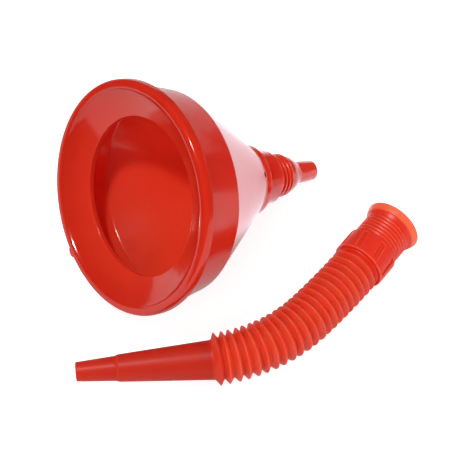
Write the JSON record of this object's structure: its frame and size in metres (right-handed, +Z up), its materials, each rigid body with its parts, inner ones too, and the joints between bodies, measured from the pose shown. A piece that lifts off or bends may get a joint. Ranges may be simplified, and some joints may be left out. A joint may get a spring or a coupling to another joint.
{
  "type": "funnel with flexible spout",
  "caption": "Round plastic funnel with an inward splash lip and threaded neck, lying beside its detachable bellows spout with nozzle and screw socket.",
  "frame": {"origin": "middle of the whole set's bounding box, on the floor it lies on", "axes": "+X along the funnel's axis seen from above, mouth towards -X and outlet towards +X; +Z up; the bellows spout lies on the -Y side"},
  "size_m": [0.2577, 0.2142, 0.1516],
  "materials": {
    "bowl": "glossy red injection-moulded polyethylene, slightly translucent",
    "splash_ring": "glossy red injection-moulded polyethylene",
    "spout": "satin-gloss orange-red blow-moulded polyethylene, translucent where thin"
  },
  "bodies": {
    "funnel": {"bowl": "bowl", "splash_ring": "splash_ring"},
    "socket": {"socket": "spout"},
    "link_11": {"bellows_11": "spout"},
    "link_10": {"bellows_10": "spout"},
    "link_09": {"bellows_09": "spout"},
    "link_08": {"bellows_08": "spout"},
    "link_07": {"bellows_07": "spout"},
    "link_06": {"bellows_06": "spout"},
    "link_05": {"bellows_05": "spout"},
    "link_04": {"bellows_04": "spout"},
    "link_03": {"bellows_03": "spout"},
    "link_02": {"bellows_02": "spout"},
    "link_01": {"bellows_01": "spout"},
    "nozzle": {"nozzle": "spout"}
  },
  "joints": [
    {"name": "spout_lift", "type": "slide", "parent": "funnel", "child": "socket", "axis": [0, 0, 1], "range_m": [0, 0.15]},
    {"name": "bend_12", "type": "hinge", "parent": "socket", "child": "link_11", "pos_m": [0.07724, -0.07261, 0.02018], "axis": [-0.0175, -0.0021, 0.9998], "range_deg": [-0.4, 7.5]},
    {"name": "bend_11", "type": "hinge", "parent": "link_11", "child": "link_10", "pos_m": [0.06618, -0.0761, 0.01998], "axis": [-0.0175, -0.0021, 0.9998], "range_deg": [-0.4, 7.5]},
    {"name": "bend_10", "type": "hinge", "parent": "link_10", "child": "link_09", "pos_m": [0.05505, -0.07935, 0.01978], "axis": [-0.0175, -0.0021, 0.9998], "range_deg": [-0.4, 7.5]},
    {"name": "bend_09", "type": "hinge", "parent": "link_09", "child": "link_08", "pos_m": [0.04385, -0.08238, 0.01957], "axis": [-0.0175, -0.0021, 0.9998], "range_deg": [-0.4, 7.5]},
    {"name": "bend_08", "type": "hinge", "parent": "link_08", "child": "link_07", "pos_m": [0.03259, -0.08516, 0.01937], "axis": [-0.0175, -0.0021, 0.9998], "range_deg": [-0.4, 7.5]},
    {"name": "bend_07", "type": "hinge", "parent": "link_07", "child": "link_06", "pos_m": [0.02128, -0.08771, 0.01917], "axis": [-0.0175, -0.0021, 0.9998], "range_deg": [-0.8, 15]},
    {"name": "bend_06", "type": "hinge", "parent": "link_06", "child": "link_05", "pos_m": [0.00976, -0.08907, 0.01896], "axis": [-0.0175, -0.0021, 0.9998], "range_deg": [-0.8, 15]},
    {"name": "bend_05", "type": "hinge", "parent": "link_05", "child": "link_04", "pos_m": [-0.00184, -0.08921, 0.01876], "axis": [-0.0175, -0.0021, 0.9998], "range_deg": [-0.8, 15]},
    {"name": "bend_04", "type": "hinge", "parent": "link_04", "child": "link_03", "pos_m": [-0.01338, -0.08813, 0.01856], "axis": [-0.0175, -0.0021, 0.9998], "range_deg": [-0.8, 15]},
    {"name": "bend_03", "type": "hinge", "parent": "link_03", "child": "link_02", "pos_m": [-0.02476, -0.08586, 0.01836], "axis": [-0.0175, -0.0021, 0.9998], "range_deg": [-0.8, 15]},
    {"name": "bend_02", "type": "hinge", "parent": "link_02", "child": "link_01", "pos_m": [-0.03583, -0.08241, 0.01818], "axis": [-0.0175, -0.0021, 0.9998], "range_deg": [-0.8, 15]},
    {"name": "bend_01", "type": "hinge", "parent": "link_01", "child": "nozzle", "pos_m": [-0.04648, -0.07782, 0.018], "axis": [-0.0175, -0.0021, 0.9998], "range_deg": [-0.8, 15]}
  ],
  "couplings": [
    {"joint": "bend_12", "follows": "bend_07", "ratio": 0.5},
    {"joint": "bend_11", "follows": "bend_07", "ratio": 0.5},
    {"joint": "bend_10", "follows": "bend_07", "ratio": 0.5},
    {"joint": "bend_09", "follows": "bend_07", "ratio": 0.5},
    {"joint": "bend_08", "follows": "bend_07", "ratio": 0.5},
    {"joint": "bend_06", "follows": "bend_07", "ratio": 1},
    {"joint": "bend_05", "follows": "bend_07", "ratio": 1},
    {"joint": "bend_04", "follows": "bend_07", "ratio": 1},
    {"joint": "bend_03", "follows": "bend_07", "ratio": 1},
    {"joint": "bend_02", "follows": "bend_07", "ratio": 1},
    {"joint": "bend_01", "follows": "bend_07", "ratio": 1}
  ]
}
